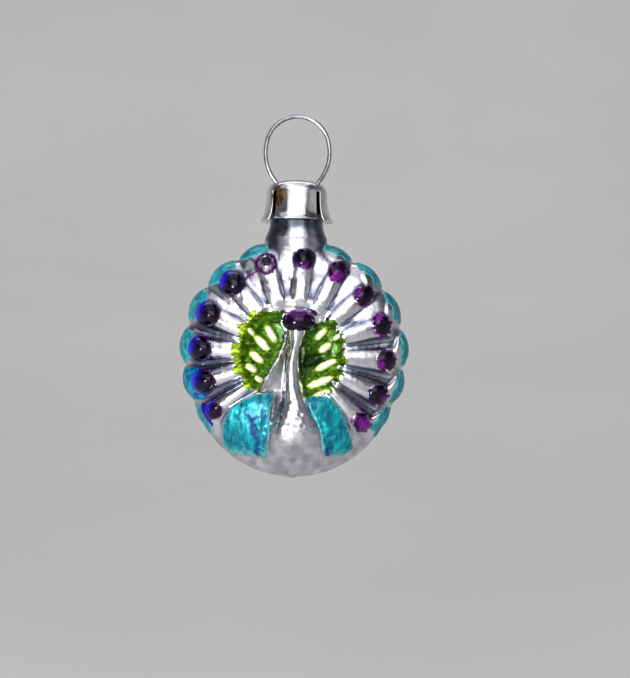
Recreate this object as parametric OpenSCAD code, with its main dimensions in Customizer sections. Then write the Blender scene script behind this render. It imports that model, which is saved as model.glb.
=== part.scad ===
// Peacock hanging ornament: a thin blown-glass bird with a fanned tail, silvered inside and
// painted outside, hung from a pressed four-petal cap by a spring wire loop.
// Millimetres, Z up, the bird looks along -Y. The origin is the top of the loop's inside,
// where a hook bears on it.

/* [Tail fan] */
// Number of tail feathers
feathers = 13; // [11:2:13]
// Angle between neighbouring feathers, in degrees
feather_pitch = 21.75; // [20:0.25:22]
// Radius from the fan's centre to a feather's tip
tip_r = 17.75; // [17.5:0.05:18]
// Radius from the fan's centre to the notch between two tips
notch_r = 16.75; // [16.5:0.05:16.95]
// How far the painted eyes lie round from their feather tips, in degrees
eye_skew = 3.5; // [0:0.5:5]
// Radius from the fan's centre to the row of eyes
eye_ring_r = 14.3; // [13.8:0.1:14.6]
// Diameter of an eye's boss
eye_d = 2.9; // [2.4:0.1:3.2]

/* [Glass body] */
// Height of the fan's face in front of the mould's parting plane
face_h = 5.2; // [4.6:0.1:5.6]
// Depth of the back behind the parting plane
back_h = 5.6; // [5:0.1:6]
// Radius of the smooth bowl under the fan
bowl_r = 15.9; // [15.5:0.1:16.2]
// How far the bowl's centre lies below the fan's centre
bowl_drop = 3.15; // [2.8:0.05:3.4]
// Thickness of the glass
wall = 0.5; // [0.4:0.05:0.55]
// Outer radius of the glass neck
neck_r = 4.1; // [4:0.05:4.15]

/* [Bird relief] */
// How far the bird's neck stands out of the fan
bird_neck_h = 1.9; // [1.5:0.1:2.2]
// How far the breast stands out of the bowl
breast_h = 3.2; // [2.6:0.1:3.6]
// How far the crested head stands out of the fan
head_h = 2.7; // [2.3:0.1:3]
// How far a folded wing stands out of the bowl
wing_h = 0.9; // [0.6:0.1:1.2]

/* [Lacquer] */
// Thickness of a lacquer coat at its middle
coat = 0.14; // [0.08:0.02:0.2]

/* [Cap] */
// Thickness of the pressed sheet
sheet = 0.2; // [0.15:0.05:0.2]
// Radius of the cap at its shoulder
shoulder_r = 4.42; // [4.4:0.01:4.5]
// Radius at the flared end of the petals
flare_r = 5.55; // [5.3:0.05:5.8]
// Width of the slit between two petals
slit_w = 0.8; // [0.4:0.1:1.2]

/* [Wire hanger] */
// Radius of the spring wire
wire_r = 0.3; // [0.25:0.05:0.35]
// Radius of the loop's top arc, to the wire's centre
loop_top_r = 4.85; // [4.8:0.01:4.9]
// Radius of the loop's side arcs, to the wire's centre
loop_side_r = 7; // [6.9:0.05:7.1]
// Length of each spring leg below the cap
leg_len = 15.5; // [13:0.5:16]

/* [Hidden] */
$fn = 64;

silver = [0.78, 0.78, 0.83];
violet = [0.22, 0.03, 0.34];
teal = [0.02, 0.52, 0.55];
leaf = [0.40, 0.58, 0.05];
tin = [0.80, 0.79, 0.76];
steel = [0.62, 0.63, 0.64];

// Heights down the axis, from the hook point.
fan_z = -36.4;
joint_z = -18.6;
neck_top_z = -10.55;
cap_top_z = -9.7;
hole_z = -10.0;
petal_end_z = -16.1;

// The neck's circle where the body meets it, from the fan's centre.
mouth_w = joint_z - fan_z;
mouth_a = atan2(neck_r, mouth_w);
bore_r = neck_r - wall;

// Mesh of the blown body: columns round the outline and rings from the centre to the rim.
cols = 112;
mouth_cols = 14;
rings = 12;

function unit(v) = v / norm(v);
function ease(t) = let (c = min(1, max(0, t))) c * c * (3 - 2 * c);
function wrap(a) = a > 180 ? a - 360 : a;
function dome(q, p = 0.5) = pow(max(0, 1 - q), p);

// ---- Outline of the fan and the bowl, seen from the front -------------------------------

// Feather coordinate at an angle clockwise from the top: whole numbers are feather spines.
function skew(r) = eye_skew * ease((notch_r - r) / (notch_r - eye_ring_r));
function feather_at(a, r) = (a - skew(r)) / feather_pitch;
function spine(u) = pow(abs(cos(180 * u)), 0.8);
function fan_share(u) = ease((feathers / 2 + 0.2 - abs(u)) / 0.4);

function scallop_r(a) = let (u = a / feather_pitch)
    abs(u) < feathers / 2 ? notch_r + (tip_r - notch_r) * pow(abs(cos(180 * u)), 0.9) : 0;
function bowl_at(a) =
    -bowl_drop * cos(a) + sqrt(bowl_r * bowl_r - pow(bowl_drop * sin(a), 2));
function rim_r(a) = max(scallop_r(a), bowl_at(a));
function edge_r(a) = let (b = abs(a))
    b <= mouth_a + 0.01 ? mouth_w / cos(b)
    : b < 25 ? max(rim_r(a), neck_r / sin(b))
    : rim_r(a);

// ---- Height of the glass off the parting plane, at x and w from the fan's centre --------

// Rounded edge of the body: 1 in the middle, 0 at the rim.
function edge(s) = sqrt(max(0, 1 - pow(min(1, s), 4.5)));

// Wide end of the neck where it runs down into the fan's face.
function neck_root(x, w, depth) = let (r = neck_r * ease((w - 6) / (mouth_w - 8)))
    depth / neck_r * sqrt(max(0, r * r - x * x));

// Boss under each painted eye.
function eye_boss(u, r) = let (
        across = (u - round(u)) * feather_pitch * PI / 180 * r,
        q = (across * across + pow(r - eye_ring_r, 2)) / pow(eye_d / 2, 2)
    )
    abs(u) < feathers / 2 ? 0.85 * dome(q, 0.7) : 0;

// Short covert feathers round the bird's neck, fanned from a point on its body.
covert_r = 8.8;
covert_drop = 3.9;
covert_pitch = 19;
function covert_share(x, w) = ease((covert_r - norm([x, w])) / 1.2) * ease((w + 8.5) / 2);
function coverts(x, w) = let (u = atan2(x, w + covert_drop) / covert_pitch)
    covert_share(x, w) * (0.25 + 0.5 * (spine(u + 0.5) - 0.5));

// The bird: a narrow neck that widens into the breast, a crested head, and two folded wings.
function bird_half(w) = 1.15 + 0.2 * max(0, 3.5 - w);
function bird_x(w) = -0.8 * dome(pow((w + 4) / 7, 2), 1) + 0.4 * ease((-w - 8) / 5);
function bird_body(x, w) = let (
        q = pow((x - bird_x(w)) / bird_half(w), 2),
        h = bird_neck_h + (breast_h - bird_neck_h) * ease((-w - 1) / 9)
    )
    h * ease((6.5 - w) / 2) * dome(q, 0.6);
head = [0.45, 5.1];
function bird_head(x, w) =
    head_h * dome(pow((x - head[0]) / 2.5, 2) + pow((w - head[1]) / 2.1, 2), 0.6);
wing_at = [6.1, -11];
wing_size = [2.5, 4.7];
wing_lean = 22;
function wing(x, w) = let (
        dx = abs(x) - wing_at[0],
        dw = w - wing_at[1],
        p = (dx * cos(wing_lean) + dw * sin(wing_lean)) / wing_size[0],
        q = (dw * cos(wing_lean) - dx * sin(wing_lean)) / wing_size[1]
    )
    wing_h * dome(p * p + q * q, 0.7);

function face(x, w) = let (
        a = atan2(x, w),
        r = norm([x, w]),
        e = edge(r / rim_r(a)),
        u = feather_at(a, r),
        ribs = 1.1 * fan_share(u) * ease(r / notch_r * 2 - 0.75) * (spine(u) - 0.5),
        relief = max(bird_body(x, w), bird_head(x, w), wing(x, w)),
        body = e * (face_h + ribs + coverts(x, w) + relief) + min(1, 2 * e) * eye_boss(u, r),
        root = neck_root(x, w, neck_r)
    )
    max(body, root);

function back(x, w) = let (
        a = atan2(x, w),
        r = norm([x, w]),
        e = edge(r / rim_r(a)),
        u = feather_at(a, r),
        ribs = 0.8 * fan_share(u) * ease(r / notch_r * 2 - 0.5) * (spine(u) - 0.5)
    )
    max(e * (back_h + ribs), neck_root(x, w, neck_r));

function on_face(x, w) = [x, -face(x, w), fan_z + w];
function on_back(x, w) = [x, back(x, w), fan_z + w];
function face_normal(x, w) = let (d = 0.05)
    unit([face(x - d, w) - face(x + d, w), -2 * d, face(x, w - d) - face(x, w + d)]);

// ---- Blown glass body -------------------------------------------------------------------

function column_angle(i) = i <= mouth_cols
    ? atan2(neck_r * sin(180 * i / mouth_cols - 90), mouth_w)
    : wrap(mouth_a + (360 - 2 * mouth_a) * (i - mouth_cols) / (cols - mouth_cols));

function grid_point(side, i, j) = let (
        a = column_angle(i),
        r = edge_r(a) * sin(90 * j / rings),
        x = r * sin(a),
        w = r * cos(a)
    )
    side == 0 ? on_face(x, w) : on_back(x, w);

function in_mouth(i) = i > 0 && i < mouth_cols;

// Vertex numbers: the front and back of one skin share their rim outside the mouth.
side_count = 1 + cols * rings;
function vertex(skin, side, i, j) = let (own = side == 1 && (j < rings || in_mouth(i % cols)))
    skin * 2 * side_count + (own ? side_count : 0)
    + (j == 0 ? 0 : 1 + (j - 1) * cols + i % cols);

// Two triangles between neighbouring columns, or one at the centre.
function cell(skin, side, i, j) = let (
        p = vertex(skin, side, i, j),
        q = vertex(skin, side, i + 1, j),
        r = vertex(skin, side, i + 1, j + 1),
        s = vertex(skin, side, i, j + 1)
    )
    j == 0 ? [[p, r, s]] : [[p, q, r], [p, r, s]];
function turned(f) = [f[2], f[1], f[0]];

module glass_body() {
    outer = [for (side = [0, 1]) [for (j = [0:rings]) [for (i = [0:cols - 1])
        grid_point(side, i, j)]]];
    function at(side, i, j) = outer[side][j][(i + cols) % cols];
    function across(side, i, j) = j == rings && !in_mouth(i)
        ? at(1, i, j - 1) - at(0, i, j - 1)
        : at(side, i, min(rings, j + 1)) - at(side, i, j - 1);
    function outward(side, i, j) = let (
            n = cross(at(side, i + 1, j) - at(side, i - 1, j), across(side, i, j))
        )
        side == 0 || (j == rings && !in_mouth(i)) ? unit(n) : -unit(n);
    function inner(side, i, j) = let (p = at(side, i, j))
        j == rings && i <= mouth_cols
            ? [p[0] * bore_r / neck_r, p[1] * bore_r / neck_r, p[2]]
            : p - wall * outward(side, i, j);

    points = [for (skin = [0, 1]) for (side = [0, 1]) each concat(
        [at(side, 0, 0) - (skin == 0 ? [0, 0, 0] : [0, (side == 0 ? -wall : wall), 0])],
        [for (j = [1:rings]) for (i = [0:cols - 1])
            skin == 0 ? at(side, i, j) : inner(side, i, j)]
    )];
    walls = [for (skin = [0, 1]) for (side = [0, 1]) for (j = [0:rings - 1])
        for (i = [0:cols - 1]) for (f = cell(skin, side, i, j))
            skin == side ? turned(f) : f];
    rim = [for (side = [0, 1]) for (i = [0:mouth_cols - 1])
        let (
            p = vertex(0, side, i, rings),
            q = vertex(0, side, i + 1, rings),
            r = vertex(1, side, i + 1, rings),
            s = vertex(1, side, i, rings)
        )
        for (f = [[p, q, r], [p, r, s]]) side == 0 ? turned(f) : f];
    color(silver) polyhedron(points = points, faces = concat(walls, rim), convexity = 10);
}

// Straight tube with a fire-rounded rim, on top of the body.
module glass_neck() {
    color(silver) translate([0, 0, joint_z]) rotate_extrude() {
        translate([bore_r, 0]) square([wall, neck_top_z - joint_z - wall / 2]);
        translate([bore_r + wall / 2, neck_top_z - joint_z - wall / 2]) circle(d = wall, $fn = 24);
    }
}

// ---- Lacquer ----------------------------------------------------------------------------

// Closed skin between two grids of points, each a list of equal rows.
module skin_between(under, over) {
    rows = len(under);
    cells = len(under[0]);
    function id(layer, j, i) = layer * rows * cells + j * cells + i;
    points = [for (layer = [under, over]) for (row = layer) each row];
    sheets = [for (j = [0:rows - 2]) for (i = [0:cells - 2]) each [
        [id(0, j, i), id(0, j + 1, i + 1), id(0, j, i + 1)],
        [id(0, j, i), id(0, j + 1, i), id(0, j + 1, i + 1)],
        [id(1, j, i), id(1, j, i + 1), id(1, j + 1, i + 1)],
        [id(1, j, i), id(1, j + 1, i + 1), id(1, j + 1, i)]
    ]];
    ends = [for (i = [0:cells - 2]) each [
        [id(0, 0, i), id(0, 0, i + 1), id(1, 0, i + 1)],
        [id(0, 0, i), id(1, 0, i + 1), id(1, 0, i)],
        [id(0, rows - 1, i + 1), id(0, rows - 1, i), id(1, rows - 1, i)],
        [id(0, rows - 1, i + 1), id(1, rows - 1, i), id(1, rows - 1, i + 1)]
    ]];
    sides = [for (j = [0:rows - 2]) each [
        [id(0, j + 1, 0), id(0, j, 0), id(1, j, 0)],
        [id(0, j + 1, 0), id(1, j, 0), id(1, j + 1, 0)],
        [id(0, j, cells - 1), id(0, j + 1, cells - 1), id(1, j + 1, cells - 1)],
        [id(0, j, cells - 1), id(1, j + 1, cells - 1), id(1, j, cells - 1)]
    ]];
    polyhedron(points = points, faces = concat(sheets, ends, sides), convexity = 6);
}

// Oval drop of lacquer on the face: centre, half sizes, lean and cells along a side.
module face_drop(centre, half, lean = 0, cells = 6) {
    steps = [for (k = [0:cells]) 2 * k / cells - 1];
    spots = [for (q = steps) [for (p = steps) let (
            x = half[0] * p * sqrt(1 - q * q / 2),
            w = half[1] * q * sqrt(1 - p * p / 2)
        )
        centre + [x * cos(lean) - w * sin(lean), x * sin(lean) + w * cos(lean)]]];
    function depth(j, i) = (j == 0 || j == cells || i == 0 || i == cells) ? 0.3 : 1;
    under = [for (row = spots) [for (c = row)
        on_face(c[0], c[1]) - 0.06 * face_normal(c[0], c[1])]];
    over = [for (j = [0:cells]) [for (i = [0:cells]) let (c = spots[j][i])
        on_face(c[0], c[1]) + coat * depth(j, i) * face_normal(c[0], c[1])]];
    skin_between(under, over);
}

module tail_eye_lacquer() {
    last = (feathers - 1) / 2;
    color(violet) for (k = [-last:last]) let (a = k * feather_pitch + eye_skew)
        face_drop(eye_ring_r * [sin(a), cos(a)], [eye_d / 2, eye_d / 2], -a, 4);
}

// Teal lacquer wrapped over each feather's tip, from the face to the back.
module tail_tip_lacquer() {
    last = (feathers - 1) / 2;
    cells = 5;
    function tip_point(k, p, v) = let (
            a = feather_pitch * (k + 0.4 * p),
            r = rim_r(a) * (1 - 0.055 * v * v),
            x = r * sin(a),
            w = r * cos(a)
        )
        v < 0 ? on_face(x, w) : on_back(x, w);
    function tip_normal(k, p, v) = unit(cross(
        tip_point(k, p + 0.05, v) - tip_point(k, p - 0.05, v),
        tip_point(k, p, min(1.1, v + 0.1)) - tip_point(k, p, max(-1.1, v - 0.1))
    ));
    steps = [for (n = [0:cells]) 2 * n / cells - 1];
    color(teal) for (k = [-last:last]) if (k != 0) skin_between(
        [for (v = steps) [for (p = steps) tip_point(k, p, v) - 0.06 * tip_normal(k, p, v)]],
        [for (v = steps) [for (p = steps) tip_point(k, p, v) + coat * tip_normal(k, p, v)]]
    );
}

module covert_lacquer() {
    color(leaf) for (m = [-1, 1]) face_drop([m * 5.0, -0.3], [3.1, 5.2], m * -12, 8);
}

module wing_lacquer() {
    color(teal) for (m = [-1, 1])
        face_drop([m * wing_at[0], wing_at[1]], wing_size, m * wing_lean, 7);
}

module crest_lacquer() {
    color(violet) face_drop(head + [0, 0.25], [2.4, 1.75], 0, 7);
}

// ---- Cap --------------------------------------------------------------------------------

// Half profile of the pressed sheet, as thick as t, outer line first and back along the inside.
function cap_line(t) = [
    [0, cap_top_z - t],
    [2.6 - t / 3, cap_top_z - 0.12 - t],
    [shoulder_r - 0.55 - t / 3, cap_top_z - 0.4 - t],
    [shoulder_r - 0.12 - t * 0.8, cap_top_z - 0.85 - t / 2],
    [shoulder_r - t, cap_top_z - 1.6],
    [shoulder_r + 0.2 - t, cap_top_z - 2.9],
    [shoulder_r + 0.55 - t, cap_top_z - 4.6],
    [shoulder_r + 0.85 - t, cap_top_z - 5.6],
    [flare_r - t / 3, petal_end_z - t / 3]
];

hole_x = 3.15;
hole_r = 0.62;
module cap() {
    outer = cap_line(0);
    inner = cap_line(sheet);
    turns = [for (k = [len(inner) - 1:-1:0]) inner[k]];
    color(tin) difference() {
        rotate_extrude() polygon(concat(outer, turns));
        for (a = [45, 135]) rotate([0, 0, a])
            translate([-10, -slit_w / 2, petal_end_z - 1])
                cube([20, slit_w, cap_top_z - 1.9 - petal_end_z + 1]);
        for (m = [-1, 1]) translate([m * hole_x, 0, cap_top_z - 2])
            cylinder(r = hole_r, h = 3);
    }
}

// ---- Wire hanger ------------------------------------------------------------------------

// Bent wire in the XZ plane: an arc about c of radius r, from angle a0, over turn degrees.
module wire_arc(c, r, a0, turn) {
    translate([c[0], 0, c[1]]) rotate([90, 0, 0]) rotate([0, 0, a0])
        rotate_extrude(angle = turn) translate([r, 0]) circle(r = wire_r, $fn = 24);
}

// Straight wire from p, heading down and outward at a degrees from straight down. It is a hair
// thicker than the arcs and laps them at both ends, so the whole wire is one solid.
lap = 0.02;
module wire_run(p, a, length) {
    translate([p[0], 0, p[1]]) rotate([0, 180 - a, 0]) translate([0, 0, -lap])
        cylinder(r = wire_r + lap / 4, h = length + 2 * lap, $fn = 24);
}
function heading(a) = [sin(a), -cos(a)];
function outward(a) = [cos(a), sin(a)];

// The loop is an egg of three arcs. Each end passes inward through its hole in the cap, bends
// down, and runs down the neck as a spring leg whose end flares out below the neck.
top_half_a = 78;
shoulder_a = 90 - top_half_a;
side_end_a = 38.5;
link = 0.3;
bend_r = 1.3;
flare_bend_r = 30;
flare_a = 9;

top_c = [0, wire_r - loop_top_r];
top_end = top_c + loop_top_r * outward(shoulder_a);
side_c = top_end + link * heading(shoulder_a) - loop_side_r * outward(shoulder_a);
side_end = side_c + loop_side_r * outward(-side_end_a);
bend_start = side_end + link * heading(-side_end_a);
bend_c = bend_start + bend_r * outward(-side_end_a);
leg_x = bend_c[0] - bend_r;
flare_z = bend_c[1] - leg_len + flare_bend_r * sin(flare_a);

module hanger_side() {
    wire_run(top_end, shoulder_a, link);
    wire_arc(side_c, loop_side_r, -side_end_a, side_end_a + shoulder_a);
    wire_run(side_end, -side_end_a, link);
    wire_arc(bend_c, bend_r, 180 - side_end_a, side_end_a);
    wire_run([leg_x, bend_c[1]], 0, bend_c[1] - flare_z);
    wire_arc([leg_x + flare_bend_r, flare_z], flare_bend_r, 180, flare_a);
}

module hanger_wire() {
    color(steel) {
        wire_arc(top_c, loop_top_r, shoulder_a, 2 * top_half_a);
        hanger_side();
        mirror([1, 0, 0]) hanger_side();
    }
}

glass_body();
glass_neck();
tail_eye_lacquer();
tail_tip_lacquer();
covert_lacquer();
wing_lacquer();
crest_lacquer();
cap();
hanger_wire();
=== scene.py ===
"""Looks for a miniature blown-glass peacock ornament: silvered glass, lacquers, cap and wire."""

import math
import random

import bmesh
import bpy
import numpy as np
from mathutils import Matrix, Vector


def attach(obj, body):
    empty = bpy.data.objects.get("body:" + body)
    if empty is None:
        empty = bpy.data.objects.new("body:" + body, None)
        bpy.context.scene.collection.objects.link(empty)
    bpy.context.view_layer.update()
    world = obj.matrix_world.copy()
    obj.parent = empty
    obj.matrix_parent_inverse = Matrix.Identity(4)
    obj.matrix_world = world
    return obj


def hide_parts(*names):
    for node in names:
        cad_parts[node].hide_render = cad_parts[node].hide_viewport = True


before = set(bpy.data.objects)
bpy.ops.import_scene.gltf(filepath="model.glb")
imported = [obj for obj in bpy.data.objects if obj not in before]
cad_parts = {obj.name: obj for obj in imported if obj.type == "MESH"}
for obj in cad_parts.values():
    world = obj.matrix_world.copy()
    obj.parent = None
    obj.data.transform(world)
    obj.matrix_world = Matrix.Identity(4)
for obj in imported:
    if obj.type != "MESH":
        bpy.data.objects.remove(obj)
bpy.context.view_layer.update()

MM = 0.001

# ---- sizes, in millimetres

FAN_Z = -36.4  # height of the fan's centre
JOINT_Z = -18.6  # where the neck tube meets the fan
NECK_TOP_Z = -10.55
MOUTH_W = JOINT_Z - FAN_Z  # the tube's mouth above the fan's centre
ROOT_R = 4.8  # the neck tube where it meets the fan, across
ROOT_DEEP = 4.25  # and from front to back
NECK_R = 4.1  # the neck tube under the cap
FLARE = 2.8  # how far up the neck tube widens towards the fan
WALL = 0.5  # thickness of the glass
TIP_R = 17.7  # the fan's radius at a feather's tip
NOTCH_R = 16.75  # and at the notch between two tips
BOWL_R = 15.9  # the smooth bowl under the fan
BOWL_DROP = 3.15  # how far the bowl's centre lies below the fan's
FACE_H = 5.1  # the smooth face in front of the mould's parting plane
BACK_H = 5.6  # and the back behind it

# Feather tips on the outline, clockwise from the top in degrees, and the ends of the fan.
LOBES = [-147, -126.5, -107, -86.5, -64.2, -42.6, -21.2, 0, 21.2, 42.6, 64.2, 86.5, 107, 126.5, 147]
ORDER = np.arange(-7, 8)  # the feathers' numbers, 0 at the top

FAN_MIDDLE = 4  # the fan's middle, in the same degrees

# The eyes: angle, radius, half width across the feather, half length along it, and height.
EYES = [
    (-126.5, 14.9, 1.25, 1.4, 0.55),
    (-108.3, 14.35, 1.95, 1.85, 1.2),
    (-87.8, 14.3, 2.0, 1.85, 1.35),
    (-66.0, 14.45, 1.95, 1.95, 1.35),
    (-41.8, 14.3, 1.95, 2.0, 1.3),
    (-17.8, 14.35, 1.4, 1.5, 0.95),
    (5.4, 14.5, 1.5, 1.6, 0.95),
    (27.4, 14.3, 1.35, 1.8, 0.7),
    (49.2, 13.9, 1.55, 1.65, 0.75),
    (70.8, 14.1, 1.85, 1.45, 0.75),
    (93.4, 14.1, 1.6, 1.5, 0.75),
    (115.0, 14.3, 1.6, 1.6, 0.75),
    (134.5, 14.7, 1.35, 1.5, 0.55),
]
EYE_ANGLES = [-147] + [e[0] for e in EYES] + [156]


def ease(t):
    """A smooth step from 0 to 1."""
    t = np.clip(t, 0, 1)
    return t * t * (3 - 2 * t)


def smooth_max(a, b, k):
    """The larger of two heights, with a fillet about k wide where they cross."""
    h = np.clip(0.5 + 0.5 * (a - b) / np.maximum(k, 1e-6), 0, 1)
    return b + (a - b) * h + k * h * (1 - h)


def dome(q, p):
    """1 in the middle and 0 where q reaches 1; p of 0.5 is round and a larger p is pointed."""
    return np.clip(1 - q, 0, None) ** p


def bell(*offsets):
    """1 where every offset is 0, fading to nothing at about 2."""
    return np.exp(-sum(t * t for t in offsets))


def waves(x, y, scale, seed, terms=8):
    """Smooth seeded noise of about unit size whose blobs are about scale across."""
    rng = random.Random(seed)
    total = 0
    for _ in range(terms):
        turn = rng.uniform(0, 2 * math.pi)
        k = 2 * math.pi / scale * rng.uniform(0.6, 1.5)
        total = total + np.sin(k * (x * math.cos(turn) + y * math.sin(turn)) + rng.uniform(0, 6.283))
    return total / math.sqrt(terms)


# ---- the glass surface

def feather(a, r):
    """Feather coordinate: whole numbers are spines, halves are the valleys between feathers."""
    rim = np.interp(a, LOBES, ORDER)
    eye = np.interp(a, EYE_ANGLES, ORDER)
    return rim + (eye - rim) * ease((16.6 - r) / 1.6)


def rim_r(a):
    """Radius of the outline without the neck: the scalloped fan, the bowl and its sealing pip."""
    u = np.interp(a, LOBES, ORDER)
    scallop = np.where(np.abs(u) < 6.5, NOTCH_R + (TIP_R - NOTCH_R) * np.abs(np.cos(np.pi * u)) ** 0.9, 0)
    t = np.radians(a)
    bowl = -BOWL_DROP * np.cos(t) + np.sqrt(BOWL_R**2 - (BOWL_DROP * np.sin(t)) ** 2)
    pip = 0.22 * bell((np.abs(a) - 180) / 1.6)
    return np.maximum(scallop, bowl) + pip


MOUTH_A = math.degrees(math.atan2(ROOT_R, MOUTH_W))


def edge_r(a):
    """Radius of the whole outline: straight across the tube's mouth and filleted beside it."""
    b = np.abs(a)
    t = np.radians(np.clip(b, 1, 60))
    mouth = MOUTH_W / np.cos(np.radians(np.minimum(b, 30)))
    side = smooth_max(rim_r(a), ROOT_R / np.sin(t), 2.6 * ease((b - MOUTH_A) / 2.5))
    return np.where(b <= MOUTH_A + 0.01, mouth, np.where(b < 32, side, rim_r(a)))


def rim_curve(s):
    """Section of the body: 1 in the middle, rounding down to 0 at the rim."""
    return np.sqrt(np.clip(1 - np.minimum(s, 1) ** 4.6, 0, None))


def neck_root(x, w):
    """The neck tube flaring down into the fan, to x and w from the fan's centre."""
    t = np.clip((MOUTH_W - w) / 6, 0, 2.5)
    half = ROOT_R * (1 + 1.3 * t * t)
    depth = ROOT_DEEP * (1 + 0.16 * ease(t / 1.5))
    return depth * np.sqrt(np.clip(1 - (x / half) ** 2, 0, None)) * ease((w - 6.5) / 7)


def envelope(x, w, e, height):
    """The smooth body under the relief, and how much of the relief shows on it."""
    near = MOUTH_W - w
    body = smooth_max(e * height, neck_root(x, w), 1.6 * ease(near / 2.5))
    return body, body / height * ease(near / 4.5)


def turned(x, w):
    """Angle in degrees clockwise from the top, and radius, from the fan's centre."""
    return np.degrees(np.arctan2(x, w)), np.hypot(x, w)


def fan_share(a):
    """1 on the feathers and 0 on the bowl."""
    return ease((140 - np.abs(a - FAN_MIDDLE)) / 9)


def cut(f):
    """Cross-section between feathers: 0 on the rounded crest, about 1 on the floor of the flute."""
    q = 2 * np.abs(f)
    crest = np.sqrt(np.clip(1 - (q / 0.72) ** 2, 0, None))
    floor = 0.16 - 0.16 * bell((1 - q) / 0.09)
    return 1 - smooth_max(crest, floor, 0.2)


# Covert feathers: middle x and w, direction in degrees, half length and half width.
BARS = [
    (-3.5, 3.0, -59, 1.75, 0.7), (-4.8, 1.5, -47, 1.8, 0.72), (-5.6, -0.6, -41, 1.55, 0.7),
    (-6.35, -2.25, -38, 1.15, 0.62), (-5.2, -3.9, -35, 0.8, 0.5), (-6.4, 3.2, -52, 0.9, 0.45),
    (4.1, 3.05, 45, 1.4, 0.62), (4.75, 1.0, 37, 1.4, 0.7), (4.9, -1.6, 27, 2.15, 0.7),
    (4.1, -4.2, 22, 2.5, 0.68), (4.35, -6.0, 24, 1.8, 0.6), (6.4, 2.6, 42, 0.8, 0.45),
]
COVERT_R = 7.7


def coverts(x, w):
    """Short slanting covert feathers each side of the bird's neck."""
    total = np.full_like(x, -0.15)
    for cx, cw, lean, length, width in BARS:
        c, s = math.cos(math.radians(lean)), math.sin(math.radians(lean))
        p, q = ((x - cx) * c + (w - cw) * s) / length, ((w - cw) * c - (x - cx) * s) / width
        total = np.maximum(total, 0.8 * dome(np.abs(p) ** 2.4 + q * q, 1.2) - 0.15)
    return total * (1 - ease((np.hypot(x, w) - COVERT_R) / 0.6))


# The bird's spine from the crest to the breast: w, x, half width and height.
SPINE_W = [-17.5, -16, -14.5, -13, -12, -11, -9, -7, -5.3, -3.3, -1.5, 0.6, 2.1, 3.4, 5.0]
SPINE_X = [0.6, 0.6, 0.55, 0.5, 0.5, 0.45, 0.35, 0.2, -0.2, -0.35, -0.4, 0.0, 0.5, 0.6, 0.7]
SPINE_LEFT = [6.0, 5.1, 4.8, 4.6, 4.45, 4.3, 3.0, 1.8, 1.1, 0.9, 0.8, 0.8, 1.3, 1.6, 1.9]
SPINE_RIGHT = [6.0, 4.9, 4.7, 4.5, 4.3, 4.05, 3.1, 2.2, 1.85, 1.65, 1.5, 1.2, 1.05, 1.35, 1.6]
SPINE_H = [0.7, 2.2, 3.3, 4.0, 4.05, 3.8, 3.3, 2.9, 2.7, 2.5, 2.3, 2.05, 2.0, 2.0, 2.1]
# The line where the neck's left flank meets the coverts and the wing, and the crease beside
# the neck, as x at the given w.
FLANK_W = [-16, -11.3, -9.2, -7.2, -6.3, -5.6, -3.0, -0.7, 2.1, 3.7]
FLANK_X = [-4.0, -3.4, -3.4, -3.3, -4.4, -5.2, -3.9, -2.5, -1.5, -1.4]
CREASE_W = [-14, -11, -9.5, -7.6, -5.3, -2, 0.6]
CREASE_X = [-2.4, -2.1, -1.8, -1.5, -1.35, -1.25, -0.95]


def flank_edge(w):
    return np.interp(w, FLANK_W, FLANK_X)


def bird(x, w):
    """Height of the bird's neck and breast."""
    mid = np.interp(w, SPINE_W, SPINE_X)
    half = np.where(x < mid, np.interp(w, SPINE_W, SPINE_LEFT), np.interp(w, SPINE_W, SPINE_RIGHT))
    top = np.interp(w, SPINE_W, SPINE_H)
    q = ((x - mid) / half) ** 2
    blunt = np.interp(w, [-16, -12, -7], [0.9, 0.6, 0.5])
    core = top * dome(q, blunt) * ease((5.6 - w) / 0.8) - 1.2 * np.clip((q - 1) * 4, 0, 1)
    # The left flank falls away from the neck, and a crease runs beside it.
    outer = flank_edge(w)
    t = np.clip((x - outer) / np.maximum(mid - outer, 0.3), 0, 1)
    low = np.interp(w, [-13, -11, -8.5, -6], [-1.0, -0.4, -0.4, -1.0])
    flank = low + (0.55 * top - 0.1 - low) * t - 1.0 * (x < outer)
    flank = np.where(x < mid, flank, -1.2) * ease((5.0 - w) / 1.2)
    crease = np.interp(w, CREASE_W, CREASE_X)
    fold = 0.22 * bell((x - crease) / 0.2) * ease((w + 13) / 3) * ease((1.2 - w) / 0.8)
    return smooth_max(core, flank, 0.2) - fold


HEAD = (0.7, 4.9)
HEAD_HALF = (2.4, 1.85)
CREST_H = 2.9


def head_q(x, w):
    """1 on the crest's outline, which is round on top and flatter below, and less inside it."""
    across, up = (x - HEAD[0]) / HEAD_HALF[0], (w - HEAD[1]) / HEAD_HALF[1]
    return np.abs(across) ** 2.3 + np.where(up < 0, np.abs(up * 1.38) ** 3.2, np.abs(up) ** 2.1)


# Folded wings, as outlines of x and w.
WINGS = {
    "left": [(-2.8, -5.9), (-5.6, -6.2), (-7.4, -7.1), (-9.4, -8.4), (-10.5, -10.4), (-10.7, -12.4),
             (-10.5, -14.2), (-9.6, -15.2), (-7.7, -15.5), (-3.4, -15.9), (-2.6, -11.3), (-2.4, -7.4)],
    "right": [(1.6, -6.7), (3.4, -6.2), (5.6, -6.5), (7.2, -8.2), (8.5, -11.2), (9.4, -14.3),
              (7.9, -15.4), (4.2, -15.6), (3.2, -12.4), (2.2, -10.2)],
}
# Where the lacquer on each wing stops against the breast, as x at the given w.
WING_EDGE_W = [-16, -13, -11.3, -9.2, -7.2, -6]
WING_EDGE = {
    "left": [-3.9, -3.65, -3.4, -3.4, -3.0, -2.9],
    "right": [4.9, 4.5, 4.15, 3.1, 2.05, 1.8],
}
UNDERCUT = 3.0  # how far a wing's surface drops outside its outline, so that the rest covers it


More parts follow.
